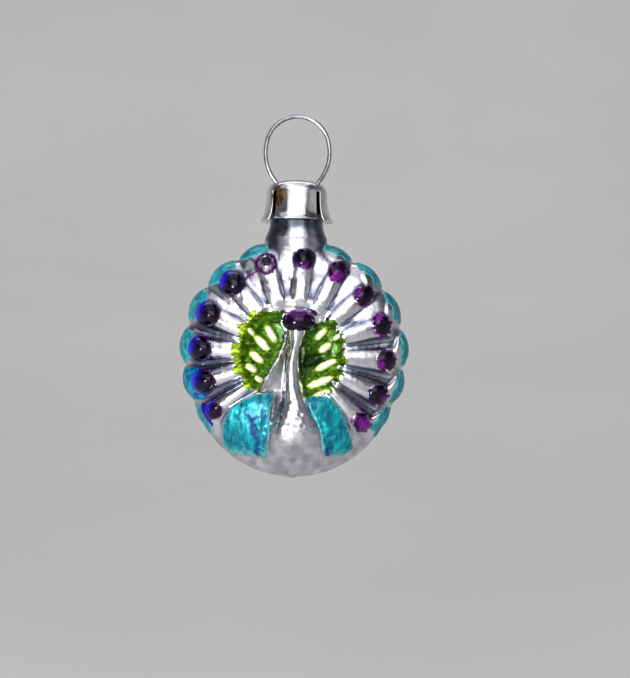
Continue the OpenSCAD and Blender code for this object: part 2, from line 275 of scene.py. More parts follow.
def inside_by(x, w, corners, blunt):
    """How far inside an outline with straight sides, grown by blunt with round corners."""
    gap = np.full_like(x, 1e9)
    sign = np.full(x.shape, -1.0)
    for n, (ax, aw) in enumerate(corners):
        bx, bw = corners[(n + 1) % len(corners)]
        ex, ew = bx - ax, bw - aw
        t = np.clip(((x - ax) * ex + (w - aw) * ew) / (ex * ex + ew * ew), 0, 1)
        gap = np.minimum(gap, np.hypot(x - ax - t * ex, w - aw - t * ew))
        crosses = ((aw > w) != (bw > w)) & (x < ex * (w - aw) / (ew if abs(ew) > 1e-9 else 1e-9) + ax)
        sign = np.where(crosses, -sign, sign)
    return sign * gap + blunt


def past_breast(x, w, side):
    """How far a point lies outside the line where the wing meets the breast."""
    edge = np.interp(w, WING_EDGE_W, WING_EDGE[side])
    return edge - x if side == "left" else x - edge


def wing(x, w, side):
    """Height of a folded wing, lower away from the breast, with faint streaks along it."""
    m = inside_by(x, w, WINGS[side], 0.25)
    streaks = (0.015 * waves(x * 2.2, w * 0.6, 1.5, 31) + 0.03 * waves(x, w, 1.5, 32)) * ease(m / 0.8)
    past = past_breast(x, w, side)
    rise = 0.9 * np.clip(1 - past / 5.5, 0, 1) * ease(m / 1.2)
    shown = (m > 0) * ease((past + 0.6) / 0.6)
    height = 0.15 + 0.65 * np.sqrt(np.clip(m / 2.6, 0, 1)) + rise + streaks
    return height * shown - UNDERCUT * (1 - shown)


def eye_q(x, w, eye):
    """Place across and along a feather, in the eye's half sizes."""
    a, r, across, along, _ = eye
    t = math.radians(a)
    out = x * math.sin(t) + w * math.cos(t) - r
    side = x * math.cos(t) - w * math.sin(t)
    return side / across, out / along


def bosses(x, w):
    """The round bosses in the glass under the eyes."""
    total = np.zeros_like(x)
    for eye in EYES:
        p, q = eye_q(x, w, eye)
        total = np.maximum(total, eye[4] * dome((p * p + q * q) / 0.92, 0.62))
    return total


def face(x, w):
    """How far the front of the glass stands out, at x and w from the fan's centre."""
    a, r = turned(x, w)
    e = rim_curve(r / rim_r(a))
    share = fan_share(a)
    f = feather(a, r)
    f = f - np.round(f)
    # The flutes deepen outwards, and the feathers' crests stand above the dish that holds the coverts.
    start = 6.3 + bell((a - FAN_MIDDLE) / 42)
    depth = (0.75 + 0.75 * ease((r - 8) / 6)) * ease((r - start) / 2.2)
    above = bell((a - FAN_MIDDLE) / 34)
    step = ease((r - COVERT_R + 1.0 + 0.3 * np.cos(2 * np.pi * f)) / (1.1 + 0.5 * (x < 0)))
    crest_line = 0.8 * (step + (1 - step) * 0.9 * above) - 0.35 * ease((r - 8) / 6)
    dish = 0.5 * (1 - ease((r - 5.6) / 1.8)) * ease((w + 10) / 3)
    pit = 0.9 * bell((x - 2.7) / 1.3, (w + 0.9 - 0.35 * (x - 2.7)) / 0.8)
    # The fan sinks under the bird's left flank, so that only the flank shows there.
    under = ease((x - flank_edge(w)) / 0.5) * ease((3.5 - w) / 1)
    under = under * (x < np.interp(w, SPINE_W, SPINE_X))
    base = share * (crest_line - depth * cut(f) + coverts(x, w)) - dish - pit - 1.5 * under
    shape = smooth_max(base, bird(x, w) - 0.1, 0.2)
    for side in WINGS:
        shape = smooth_max(shape, wing(x, w, side) - 0.02, 0.12)
    q = head_q(x, w)
    crest = CREST_H * dome(q, 0.6) - 1.5 * (q >= 1)
    groove = 0.06 * bell((np.sqrt(q) - 1.2) / 0.25) * ease((w - 4.5) / 1)
    shape = np.maximum(shape - groove, crest)
    # The skin is a little uneven, on the breast and along the feathers.
    breast = 0.04 * waves(x, w, 1.4, 5) * ease((-w - 6) / 3) * ease((6.5 - np.abs(x)) / 2)
    feathers = (0.016 * waves(x, w, 1.3, 21) + 0.006 * waves(x, w, 0.6, 22)) * share * ease((r - 7) / 2)
    body, shown = envelope(x, w, e, FACE_H)
    return body + shown * (shape + breast + feathers) + np.minimum(1, 2.2 * e) * bosses(x, w)


def back(x, w):
    """How far the back of the glass stands out behind the parting plane."""
    a, r = turned(x, w)
    e = rim_curve(r / rim_r(a))
    u = np.interp(a, LOBES, ORDER)
    u = u - np.round(u)
    ribs = 1.1 * fan_share(a) * ease((r - 3.5) / 5) * (0.5 - cut(u))
    uneven = 0.03 * waves(x, w, 1.1, 6)
    body, shown = envelope(x, w, e, BACK_H)
    return body + shown * (ribs + uneven)


def bulge(x, w, reach):
    """How far the face stands proud of its surroundings: negative in creases and flutes."""
    around = 0
    for turn in range(6):
        t = math.radians(60 * turn + 20)
        around = around + face(x + reach * math.cos(t), w + reach * math.sin(t))
    return face(x, w) - around / 6


def on_face(x, w):
    return np.stack([x, -face(x, w), FAN_Z + w], -1)


def on_back(x, w):
    return np.stack([x, back(x, w), FAN_Z + w], -1)


def wrapped(a, v):
    """A point on the glass at angle a: v from -1 to 0 crosses the face to the rim, 0 to 1 the back."""
    s = 1 - np.abs(v) ** 2
    r = rim_r(a) * s
    x, w = r * np.sin(np.radians(a)), r * np.cos(np.radians(a))
    return np.where((v < 0)[..., None], on_face(x, w), on_back(x, w))


# ---- meshes

def add_object(name, data):
    thing = bpy.data.objects.new(name, data)
    bpy.context.scene.collection.objects.link(thing)
    return thing


def make_piece(name, verts, faces, body, attributes=None):
    """A smooth mesh from millimetre points, riding on a body."""
    mesh = bpy.data.meshes.new(name)
    mesh.from_pydata((np.asarray(verts) * MM).tolist(), [], faces)
    for key, values in (attributes or {}).items():
        mesh.attributes.new(key, "FLOAT", "POINT").data.foreach_set("value", np.asarray(values, np.float32))
    work = bmesh.new()
    work.from_mesh(mesh)
    bmesh.ops.remove_doubles(work, verts=work.verts, dist=2e-7)
    bmesh.ops.recalc_face_normals(work, faces=work.faces)
    work.to_mesh(mesh)
    work.free()
    mesh.shade_smooth()
    piece = add_object(name, mesh)
    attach(piece, body)
    return piece


def ring_faces(rows, sides):
    """Quads between rows of vertices, each a closed ring."""
    quads = []
    for a in range(0, (rows - 1) * sides, sides):
        for k in range(sides):
            n = (k + 1) % sides
            quads.append([a + k, a + n, a + sides + n, a + sides + k])
    return quads


def normals(place, u, v, du, dv):
    """Unit normals of the surface place(u, v), from differences du and dv each way."""
    n = np.cross(place(u + du, v) - place(u - du, v), place(u, v + dv) - place(u, v - dv))
    return n / np.maximum(np.linalg.norm(n, axis=-1, keepdims=True), 1e-12)


class Coats:
    """Closed skins over a surface, clipped where their mask is negative, gathered into one piece."""

    def __init__(self):
        self.verts, self.faces, self.values, self.count = [], [], {}, 0

    def add(self, us, vs, place, mask, lift, sink, outward, step=0.02, extra=None, wrap=False):
        """place(u, v) gives points, mask(u, v) is positive inside, lift(m, u, v) and sink are the
        offsets of the outer and inner face along the normal, which points along outward(points)."""
        grid_u, grid_v = np.meshgrid(us, vs, indexing="ij")
        m = mask(grid_u, grid_v)
        rows, cols = m.shape
        inside = m > 0
        index, param = {}, []

        def vertex(key, u, v):
            if key not in index:
                index[key] = len(param)
                param.append((u, v))
            return index[key]

        polygons = []
        spans = rows if wrap else rows - 1
        for i in range(spans):
            k = (i + 1) % rows
            for j in range(cols - 1):
                ring = ((i, j), (k, j), (k, j + 1), (i, j + 1))
                flags = [inside[c] for c in ring]
                if not any(flags):
                    continue
                loop = []
                for n in range(4):
                    c, d = ring[n], ring[(n + 1) % 4]
                    if flags[n]:
                        loop.append(vertex(c, us[c[0]], vs[c[1]]))
                    if flags[n] != flags[(n + 1) % 4]:
                        t = m[c] / (m[c] - m[d])
                        uc, ud = us[c[0]], us[d[0]]
                        if wrap and abs(ud - uc) > abs(us[1] - us[0]) * 2:
                            ud += math.copysign(360, uc - ud)
                        key = (c, d) if c < d else (d, c)
                        loop.append(vertex(key, uc + (ud - uc) * t, vs[c[1]] + (vs[d[1]] - vs[c[1]]) * t))
                if len(loop) > 2:
                    polygons.append(loop)
        if not polygons:
            return
        pu, pv = np.array(param).T
        pm = np.clip(mask(pu, pv), 0, None)
        points = place(pu, pv)
        n = normals(place, pu, pv, step, step)
        n *= np.where((n * outward(points)).sum(-1, keepdims=True) < 0, -1, 1)
        top = points + n * lift(pm, pu, pv)[:, None]
        bottom = points - n * sink
        count, base = len(points), self.count
        uses = {}
        for loop in polygons:
            for c, d in zip(loop, loop[1:] + loop[:1]):
                uses[(c, d)] = uses.get((c, d), 0) + 1
        for loop in polygons:
            self.faces.append([base + c for c in loop])
            self.faces.append([base + count + c for c in reversed(loop)])
        for c, d in uses:
            if (d, c) not in uses:
                self.faces.append([base + d, base + c, base + count + c, base + count + d])
        self.verts += [top, bottom]
        for key, values in (extra(pm, pu, pv) if extra else {}).items():
            self.values.setdefault(key, []).append(np.tile(values, 2))
        self.count += 2 * count

    def piece(self, name, body, slot, *nodes):
        values = {k: np.concatenate(v) for k, v in self.values.items()}
        piece = make_piece(name, np.concatenate(self.verts), self.faces, body, values)
        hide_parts(*nodes)
        return piece


# ---- the blown glass

COLS, MOUTH_COLS = 480, 40
FRONT_RINGS, BACK_RINGS, INNER_FRONT, INNER_BACK = 120, 40, 18, 12


def column_angles():
    """Angles of the mesh's columns: close together across the tube's mouth, then even all round."""
    across = ROOT_R * np.sin(np.radians(180 * np.arange(MOUTH_COLS) / MOUTH_COLS - 90))
    mouth = np.degrees(np.arctan2(across, MOUTH_W))
    rest = np.linspace(MOUTH_A, 360 - MOUTH_A, COLS - MOUTH_COLS, endpoint=False)
    return np.concatenate([mouth, np.where(rest > 180, rest - 360, rest)])


def ring_shares(count, depth):
    """Shares of the rim radius, evenly spaced along the section's curve."""
    s = 1 - (1 - np.linspace(0, 1, 4000)) ** 3
    path = np.stack([TIP_R * s, depth * rim_curve(s)], -1)
    run = np.concatenate([[0], np.cumsum(np.linalg.norm(np.diff(path, axis=0), axis=1))])
    out = np.interp(np.linspace(0, run[-1], count + 1), run, s)
    out[-1] = 1
    return out


def glass_mesh():
    """The blown body with its hollow, and the neck tube that joins the two skins at its lip."""
    angles = column_angles()
    rad = np.radians(angles)
    reach = edge_r(angles)
    verts, faces = [], []

    def grid(side, shares, inner):
        """Vertex numbers of one half of one skin, ring by ring from the centre."""
        kx, kw, ky = np.ones(COLS), np.ones(COLS), 1.0
        if inner:
            # The inner skin is the outer one drawn in by the wall, less so up to the tube's mouth.
            near = 1 - ease((np.abs(angles) - MOUTH_A) / 14)
            drawn_in = 1 - WALL / TIP_R
            kx = drawn_in + near * ((ROOT_R - WALL) / ROOT_R - drawn_in)
            kw = drawn_in + near * (WALL / TIP_R)
            ky = 1 - WALL / FACE_H
        numbers = []
        for s in shares:
            x, w = reach * s * np.sin(rad), reach * s * np.cos(rad)
            y = (-face(x, w) if side == "front" else back(x, w)) * ky
            rows = np.stack([x * kx, y, FAN_Z + w * kw], -1)
            if s == 0:
                rows = rows[:1]
            numbers.append(np.arange(len(rows)) + len(verts))
            verts.extend(rows)
        return numbers

    def bridge(a, b, flip):
        """Quads, or triangles at the centre, between two rings."""
        n = max(len(a), len(b))
        for i in range(n):
            k = (i + 1) % n
            loop = [a[i % len(a)], b[i], b[k]] + ([a[k]] if len(a) > 1 else [])
            faces.append(loop[::-1] if flip else loop)

    def shell(front_count, back_count, inner):
        """One skin, its halves joined along the rim, and the ring of vertices round its open mouth."""
        front = grid("front", ring_shares(front_count, FACE_H), inner)
        rear = grid("back", ring_shares(back_count, BACK_H), inner)
        for j in range(front_count):
            bridge(front[j], front[j + 1], inner)
        last = rear[-1].copy()
        closed = np.ones(COLS, bool)
        closed[1:MOUTH_COLS] = False
        last[closed] = front[-1][closed]
        rear[-1] = last
        for j in range(back_count):
            bridge(rear[j], rear[j + 1], not inner)
        return np.concatenate([front[-1][: MOUTH_COLS + 1], last[1:MOUTH_COLS][::-1]])

    outer_mouth = shell(FRONT_RINGS, BACK_RINGS, False)
    inner_mouth = shell(INNER_FRONT, INNER_BACK, True)
    # The neck tube, from the outer skin's mouth up, over its fire-rounded lip and down inside.
    around = np.array([verts[i] for i in outer_mouth])
    turn = np.arctan2(around[:, 1] / ROOT_DEEP, around[:, 0] / ROOT_R)
    lip = NECK_TOP_Z - WALL / 2

    def flared(t, z, wall):
        """Half width, half depth and height of the tube's section, t of the way up its flare."""
        share, r = (1 - t) ** 2.2, NECK_R - wall
        return r + (ROOT_R - NECK_R) * share, r + (ROOT_DEEP - NECK_R) * share, z

    section = [flared(t, JOINT_Z + FLARE * t, 0) for t in np.linspace(0.12, 1, 9)]
    section += [(NECK_R, NECK_R, z) for z in np.linspace(JOINT_Z + FLARE, lip, 7)[1:]]
    for t in np.linspace(0, math.pi, 9)[1:]:
        r = NECK_R - WALL / 2 + WALL / 2 * math.cos(t)
        section.append((r, r, lip + WALL / 2 * math.sin(t)))
    section += [(NECK_R - WALL, NECK_R - WALL, z) for z in np.linspace(lip, JOINT_Z + FLARE, 5)[1:]]
    section += [flared(1 - t, JOINT_Z + FLARE * (1 - t), WALL) for t in np.linspace(0, 0.85, 5)[1:]]
    below = outer_mouth
    for wide, deep, z in section:
        uneven = 0.03 * waves(turn * 3, np.full(len(turn), z * 0.7), 3.0, 41) * ease((z - JOINT_Z) / 2)
        x, y = (wide + uneven) * np.cos(turn), (deep + uneven) * np.sin(turn)
        row = np.stack([x, y, np.full(len(turn), z)], -1)
        above = np.arange(len(row)) + len(verts)
        verts.extend(row)
        bridge(below, above, True)
        below = above
    bridge(below, inner_mouth, True)
    return np.array(verts), faces


def vein_share(points):
    """Where the silvering has cracked, along the crease left of the neck."""
    x, w = points[:, 0], points[:, 2] - FAN_Z
    width = np.interp(w, [-14, -9, -5, 0.8], [0.1, 0.45, 0.14, 0.2])
    d = np.abs(x - np.interp(w, CREASE_W, CREASE_X) + 0.1 * waves(x, w, 1.4, 3)) / width
    on = ease((w + 12.5) / 2) * ease((1.4 - w) / 0.6) * (points[:, 1] < 0)
    patchy = np.clip(0.75 + 0.6 * waves(x, w, 1.3, 8), 0, 1)
    return np.clip(1 - d, 0, 1) ** 0.6 * on * patchy


def flank_share(x, w):
    """1 on the left flank of the bird's neck, between the green and the crease."""
    crease = np.interp(w, CREASE_W, CREASE_X)
    across = ease((x - flank_edge(w) + 0.2) / 0.5) * ease((crease - x + 0.1) / 0.5)
    return across * ease((4 - w) / 1) * ease((w + 12) / 3)


def painted_shade_share(points):
    """Painted shade on the silvering: in creases and flutes, painted dark reflections up the sides of the
    neck tube, and painted shade under the cap.
    """
    x, w = points[:, 0], points[:, 2] - FAN_Z
    off = np.abs(x - 0.3)
    # The tube's sides get painted dark reflections, and the part near the cap gets painted shade.
    sides = 0.2 + 0.35 * ease((off - 0.9) / 0.7) + 0.55 * ease((off - 2.6) / 1.0)
    sides = sides + 0.65 * ease((w - 18.2) / 1.6)
    share = np.clip(sides + 0.12 * waves(x, w, 1.6, 11), 0, 1) * ease((w - 13.5) / 4)
    share = share * ease((ROOT_R + 0.4 + np.maximum(w - 17, 0) - off) / 1.2)
    r = np.hypot(x, w)
    where = (points[:, 1] < 0) & (r < 16.8)
    x, w, r = x[where], w[where], r[where]
    flutes = fan_share(np.degrees(np.arctan2(x, w))) * ease((r - 7.6) / 1.4)
    depth = -0.5 * (bulge(x, w, 0.55) / 0.09 + bulge(x, w, 1.1) / 0.3)
    deep = np.clip(depth, 0, 1) * ease((16.6 - r) / 1.5) * (0.3 + 0.7 * flutes)
    share[where] = np.maximum(share[where], deep * (1 - 0.7 * flank_share(x, w)))
    return share


def dull_and_shade_share(points):
    """Where the silvering is painted darker grey and made rougher: painted shade on the neck's left flank,
    and the bowl, mottled and darker towards the bottom.
    """
    x, w = points[:, 0], points[:, 2] - FAN_Z
    flank = flank_share(x, w) * (points[:, 1] < 0)
    mottled = np.clip(0.7 + 0.5 * waves(x, w, 2.2, 12), 0, 1)
    bowl = 0.7 * ease((-w - 10.2 + 0.7 * waves(x, w, 1.8, 13)) / 5) * mottled
    return np.clip(np.maximum(flank, bowl), 0, 1)


glass_points, glass_faces = glass_mesh()
glass = make_piece("Blown_glass", glass_points, glass_faces, "glass", {
    "vein": vein_share(glass_points),
    "hollow": painted_shade_share(glass_points),
    "dull_and_shade": dull_and_shade_share(glass_points),
})
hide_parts("glass_body", "glass_neck")


# ---- lacquers

SINK = 0.03  # how far a coat reaches into the glass


def forward(points):
    return np.array([0.0, -1.0, 0.0])


def coat_lift(thick, edge=0.16):
    """A coat that rises quickly at its border and holds a slight bead there."""
    def lift(m, u, v):
        rise = np.sqrt(np.clip(m / edge, 0, 1))
        bead = 0.35 * bell((m - edge) / (edge * 0.9))
        return 0.012 + thick * rise * (0.8 + bead)
    return lift


def span(centre, half, step):
    return np.arange(centre - half, centre + half + step, step)


def to_line(x, w, a, b):
    """Distance from the segment a to b, and how far along it."""
    dx, dw = b[0] - a[0], b[1] - a[1]
    t = np.clip(((x - a[0]) * dx + (w - a[1]) * dw) / (dx * dx + dw * dw), 0, 1)
    return np.hypot(x - a[0] - t * dx, w - a[1] - t * dw), t


def polar(a, r):
    return r * math.sin(math.radians(a)), r * math.cos(math.radians(a))


SPILT, TORN = 1, 5  # the eye whose blue pool ran out, and the one with silver showing round its middle
GLOSSY_TO = -30  # the eyes up to this angle are smooth glossy drops
# Lighter violet patches on an eye, partly thinner coat and partly painted highlight: across and along it, and
# the patch's radius, in its half sizes.
PATCHES = {6: (0.1, -0.95, 0.75), 7: (0.35, -0.6, 1.0), 8: (-0.75, -0.6, 0.8), 9: (-0.8, -0.1, 0.7),
           10: (0.5, -0.6, 0.6), 11: (0.2, 0.8, 0.6), 12: (-0.2, 0.3, 1.05)}


def eye_tint(eye, number):
    """Painted blue sheen on the outer left side of the left-hand eyes, the spilt eye's blue pool, and where
    the coat is thin, with lighter patches that are partly painted highlight.
    """
    def extra(m, x, w):
        cx, cw = polar(eye[0], eye[1])
        p, q = eye_q(x, w, eye)
        side = (-(x - cx) * 0.9 + (w - cw) * 0.35) / eye[3]
        # Painted blue sheen on the outer upper left side of each left-hand eye.
        blue = 0.85 * ease((side - 0.12) / 0.7) if eye[0] < GLOSSY_TO else np.zeros_like(x)
        blue = blue * np.clip(0.8 + 0.35 * waves(x, w, 0.9, 9), 0, 1)
        if number == SPILT:
            blue = np.maximum(blue, 2 * ease((np.hypot(p, q) - 0.75) / 0.35) * (q > 0))
        thin = (1 - ease(m / (0.22 if number == TORN else 0.4))) * (0.7 + 0.3 * waves(x, w, 0.8, 520))
        # Lighter patches, partly thinner coat and partly painted highlight.
        if number in PATCHES:
            pp, pq, size = PATCHES[number]
            near = 1 - np.hypot(p - pp, q - pq) / size + 0.25 * waves(x, w, 0.6, 530)
            thin = np.maximum(thin, 0.7 * ease(near / 0.6))
        return {"blue": blue, "thin": np.clip(thin, 0, 1)}
    return extra


eye_coats = Coats()
for number, eye in enumerate(EYES):
    cx, cw = polar(eye[0], eye[1])
    small = min(eye[2], eye[3])

    def eye_mask(x, w):
        p, q = eye_q(x, w, eye)
        rough, drift = (0.035, 0.05) if eye[0] < GLOSSY_TO else (0.15, 0.12)
        wob = rough * waves(x, w, 0.75, 40 + number) + drift * waves(x, w, 1.8, 60 + number)
        m = (1.0 - np.sqrt(p * p + q * q)) * small + wob
        if number == TORN:  # a torn ring, and a spot in the middle of it
            ring = 0.2 - np.abs(np.sqrt(p * p + q * q) - 0.98) * small + 0.13 * waves(x, w, 0.8, 77)
            dark = 0.72 - np.hypot(p - 0.1, q - 0.15) * small + 0.12 * waves(x, w, 0.7, 78)
            m = np.maximum(ring, dark)
        if number == SPILT:  # out to the rim
            pool = (1.25 - np.hypot(p / 1.15, q - 0.95)) * small + 0.12 * waves(x, w, 1.0, 79)
            m = np.maximum(m, np.minimum(pool, 16.9 - np.hypot(x, w)))
        return m

    eye_coats.add(
        span(cx, eye[3] + (2.0 if number == SPILT else 0.6), 0.085), span(cw, eye[3] + 0.9, 0.085),
        on_face, eye_mask, coat_lift(0.12), SINK, forward, extra=eye_tint(eye, number),
    )


# The drip that ran from one eye to the next.
drip = (polar(-36.5, 13.6), polar(-24, 13.7))


def drip_mask(x, w):
    d, t = to_line(x, w, *drip)
    return 0.24 - 0.1 * t - d + 0.05 * waves(x, w, 0.7, 91)


eye_coats.add(
    np.arange(drip[0][0] - 0.6, drip[1][0] + 0.6, 0.07), np.arange(drip[0][1] - 0.6, drip[1][1] + 0.9, 0.07),
    on_face, drip_mask, coat_lift(0.1, 0.1), SINK, forward,
    extra=lambda m, x, w: {"blue": np.zeros_like(x), "thin": 1 - ease(m / 0.2)},
)
# The blue streak that ran down beside the lowest left-hand eye.
blue_run = ((-13.5, -8.3), (-12.5, -11.2))


def run_mask(x, w):
    d, t = to_line(x, w, *blue_run)
    return np.minimum(0.62 - 0.25 * t - d + 0.1 * waves(x, w, 0.9, 92), 16.75 - np.hypot(x, w))


eye_coats.add(
    np.arange(-14.6, -11.4, 0.09), np.arange(-12.2, -7.3, 0.09), on_face, run_mask, coat_lift(0.12, 0.2),
    SINK, forward, extra=lambda m, x, w: {"blue": np.full_like(x, 0.3), "thin": 0.4 * (1 - ease(m / 0.3))},
)
eyes = eye_coats.piece("Tail_eye_lacquer", "glass", "violet_lacquer", "tail_eye_lacquer")


# Teal on the feather tips, wrapped over the rim on to the back.
tip_coats = Coats()
# How far each feather's teal reaches over the face, by the feather's angle.
TIP_SPREAD = {-126.5: 0.55, -107: 1.1, -86.5: 1.1, -64.2: 1.0, -42.6: 0.9, -21.2: 0.75,
              21.2: 0.5, 42.6: 0.5, 64.2: 0.55, 86.5: 0.55, 107: 0.6, 126.5: 0.8}
for number, (angle, spread) in enumerate(TIP_SPREAD.items()):
    def tip_mask(a, v):
        arc = (a - angle) / (9.4 if abs(angle) < 120 else 8.5)
        q = np.where(v < 0, v / (0.36 * spread ** 0.5), v / 0.34)
        m = (1 - np.sqrt(np.abs(arc) ** 3.2 + np.abs(q) ** 2.6)) * 2.0
        beside_neck = (np.abs(a) - 14.6) * 0.3 + 0.12 * waves(v * 9, v, 1.6, 140)
        return np.minimum(m + 0.16 * waves(a * 0.3, v * 9, 1.5, 120 + number), beside_neck)

    tip_coats.add(
        np.arange(angle - 10.5, angle + 10.6, 0.35), np.linspace(-0.42, 0.42, 61), wrapped, tip_mask,
        coat_lift(0.07, 0.3), 0.02, lambda p: p * np.array([1, 0.6, 1]) - np.array([0, 0, FAN_Z]),
        step=0.004, extra=lambda m, a, v: {"thin": 0.1 + 0.4 * (1 - ease(m / 0.4)), "blue": np.zeros_like(m)},
    )
tips = tip_coats.piece("Tail_tip_lacquer", "glass", "teal_lacquer", "tail_tip_lacquer")


# Green on the coverts.
def covert_mask(sign):
    """Left of the bird for a sign of -1 and right of it for 1, out to a ragged edge."""
    def mask(x, w):
        a, r = turned(x, w)
        u = np.interp(a, EYE_ANGLES, ORDER)
        reach = COVERT_R + (1.4 * ease((-x - 3) / 4) if sign < 0 else 0.1)
        ragged = 0.35 * np.cos(2 * np.pi * u) + 0.45 * waves(x, w, 1.5, 200) + 0.18 * waves(x, w, 0.7, 201)
        limits = [(reach + ragged - r) * 0.8, (np.sqrt(head_q(x, w)) - 1.08) * 1.6]
        if sign < 0:
            limits += [flank_edge(w) + 0.1 - x, 6.4 - w, w + 5.6 + 0.3 * (x + 6)]
        else:
            side = np.interp(w, SPINE_W, SPINE_X) + np.interp(w, SPINE_W, SPINE_RIGHT)
            limits += [x - side, 4.6 - w + 0.25 * (x - 3), w + 6.5 - 0.2 * (x - 4)]
        return np.min(limits, axis=0) + 0.14 * waves(x, w, 0.7, 210)
    return mask


# Painted highlight on the tops of the covert feathers, painted shade in the pit beside the neck and in the
# flutes, random darker patches, and the lighter green of the outer edge.
def covert_colour_and_painted_light(m, x, w):
    stand = (coverts(x, w) + 0.15) / 0.8
    r = np.hypot(x, w)
    pit = 1.7 * bell((x - 2.5) / 2.1, (w + 1.0 - 0.2 * (x - 2.7)) / 1.2)
    f = feather(np.degrees(np.arctan2(x, w)), r)
    flute = 0.75 * cut(f - np.round(f)) * ease((r - 6.8) / 0.8)
    shade = np.maximum(np.maximum(pit, flute), 0.55 * ease(waves(x, w, 2.2, 232) - 0.2))
    ridge = np.clip(stand + 0.1 * waves(x, w, 0.8, 230), 0, 1)
    ridge = ridge * (1 - 0.95 * np.clip(pit, 0, 1) * ease((0.5 - stand) / 0.2))
    return {"ridge": ridge, "hollow": np.clip(shade, 0, 1),
            "outer": np.clip(ease((r - 6.4) / 1.6) * (0.7 + 0.5 * waves(x, w, 1.2, 231)), 0, 1)}


covert_coats = Coats()
for sign in (-1, 1):
    edges = (-9.6, -0.6) if sign < 0 else (0.3, 9.4)
    covert_coats.add(
        np.arange(edges[0], edges[1], 0.12), np.arange(-8.2, 7.6, 0.12), on_face, covert_mask(sign),
        coat_lift(0.06, 0.3), SINK, forward, extra=covert_colour_and_painted_light,
    )
covert = covert_coats.piece("Covert_lacquer", "glass", "green_lacquer", "covert_lacquer")


# Teal on the wings, streaked from the shoulder to the tip.
wing_coats = Coats()
for side, corners in WINGS.items():
    def wing_mask(x, w):
        low = ease((-w - 13) / 2)
        rough = 0.07 * waves(x, w, 0.8, 300) + 0.14 * low * waves(x * 2.2, w * 0.8, 1.5, 301)
        inner = past_breast(x, w, side) + 0.05 * waves(x, w, 0.9, 302)
        return np.minimum(inside_by(x, w, corners, 0.0) + rough, inner)

    def wing_extra(m, x, w):
        """A blue crack down each wing, with a branch on the left one, and faded tips."""
        line = -6.3 - 0.22 * (w + 9.7) if side == "left" else 5.4
        crack = np.abs(x - line - 0.3 * waves(w, 0, 3.4, 310))
        where = ease((-w - 13.7) / 0.5)
        if side == "left":
            crack = np.minimum(crack, np.hypot(np.clip(np.abs(x + 5.2) - 1.3, 0, 9), w + 9.4) + 0.15)
            where = ease((-w - 8.5) / 1) * ease((w + 15.8) / 0.6)
        crack = crack + 0.16 * waves(x, w, 0.8, 311)
        faded = ease((-w - 14.2) / 1.3) * (0.7 + 0.3 * waves(x * 2, w, 1.3, 312))
        return {"blue": np.clip(1.3 - crack / 0.5, 0, 1) * where,
                "thin": np.clip(np.maximum(faded, 0.6 * (1 - ease(m / 0.35))), 0, 1)}

    xs, ws = zip(*corners)
    wing_coats.add(
        np.arange(min(xs) - 0.6, max(xs) + 0.6, 0.11), np.arange(min(ws) - 0.7, max(ws) + 0.6, 0.11),
        on_face, wing_mask, coat_lift(0.08, 0.25), SINK, forward, extra=wing_extra,
    )
wings = wing_coats.piece("Wing_lacquer", "glass", "teal_lacquer", "wing_lacquer")


# Violet on the crest, a little larger all round than the glass it covers.
SWELL = 1.05


def under_crest(x, w):
    return HEAD[0] + (x - HEAD[0]) / SWELL, HEAD[1] + (w - HEAD[1]) / SWELL


def on_crest(x, w):
    points = on_face(*under_crest(x, w))
    points[..., 0], points[..., 2] = x, FAN_Z + w
    return points


def crest_mask(x, w):
    return (0.995 - np.sqrt(head_q(*under_crest(x, w)))) * 1.7


def crest_painted_sheen(m, x, w):
    # Painted sheen: the violet is lighter towards the top of the crest and near black below.
    high = ease((w - HEAD[1] + 0.1 + 0.2 * waves(x * 2, w * 0.6, 1.2, 402)) / 1.4)
    return {"blue": np.zeros_like(x), "thin": 0.02 + 0.55 * high * (0.85 + 0.25 * waves(x * 2, w, 1.1, 401))}


crest_coats = Coats()
crest_coats.add(
    span(HEAD[0], 2.9, 0.06), span(HEAD[1], 2.3, 0.06), on_crest, crest_mask, coat_lift(0.08), 0.06, forward,
    extra=crest_painted_sheen,
)
crest = crest_coats.piece("Crest_lacquer", "glass", "violet_lacquer", "crest_lacquer")


# ---- cap

SHEET = 0.2
# The cap's section from the middle of its top to the flared ends of its petals: radius and height.
CAP_R = [0, 2.3, 3.3, 3.97, 4.38, 4.64, 4.7, 4.71, 4.78, 5.0, 5.3, 5.72]
CAP_Z = [-9.62, -9.74, -9.98, -10.3, -10.72, -11.25, -11.7, -12.3, -13.4, -14.7, -15.6, -16.02]
HOLE_X, HOLE_R = 3.15, 0.55  # the wire's holes
SLIT_HALF = 0.42
SLIT_TOP = 5.55  # how far down the section the slits begin


def smooth_line(xs, zs, count):
    """Points evenly along a rounded line through the given ones."""
    xs, zs = np.array(xs, float), np.array(zs, float)
    for _ in range(3):
        nx, nz = [xs[0]], [zs[0]]
        for i in range(len(xs) - 1):
            for t in (0.25, 0.75):
                nx.append(xs[i] + (xs[i + 1] - xs[i]) * t)
                nz.append(zs[i] + (zs[i + 1] - zs[i]) * t)
        nx.append(xs[-1])
        nz.append(zs[-1])
        xs, zs = np.array(nx), np.array(nz)
    run = np.concatenate([[0], np.cumsum(np.hypot(np.diff(xs), np.diff(zs)))])
    t = np.linspace(0, run[-1], count)
    return t, np.interp(t, run, xs), np.interp(t, run, zs)


cap_run, cap_r, cap_z = smooth_line(CAP_R, CAP_Z, 200)


def on_cap(turn, run):
    """A point on the cap's outside: turn in degrees from +X, run along its section."""
    r, z = np.interp(run, cap_run, cap_r), np.interp(run, cap_run, cap_z)
    # Each petal is pressed a little flatter across than the round it was cut from.
    local = np.radians((turn + 45) % 90 - 45)
    low = ease((run - 6.2) / 4)
    r = r * (1 + low * (0.022 * np.cos(4 * local) + 0.012 * np.sin(np.radians(turn) * 3 + 1)))
    t = np.radians(turn)
    return np.stack([r * np.cos(t), r * np.sin(t), z], -1)


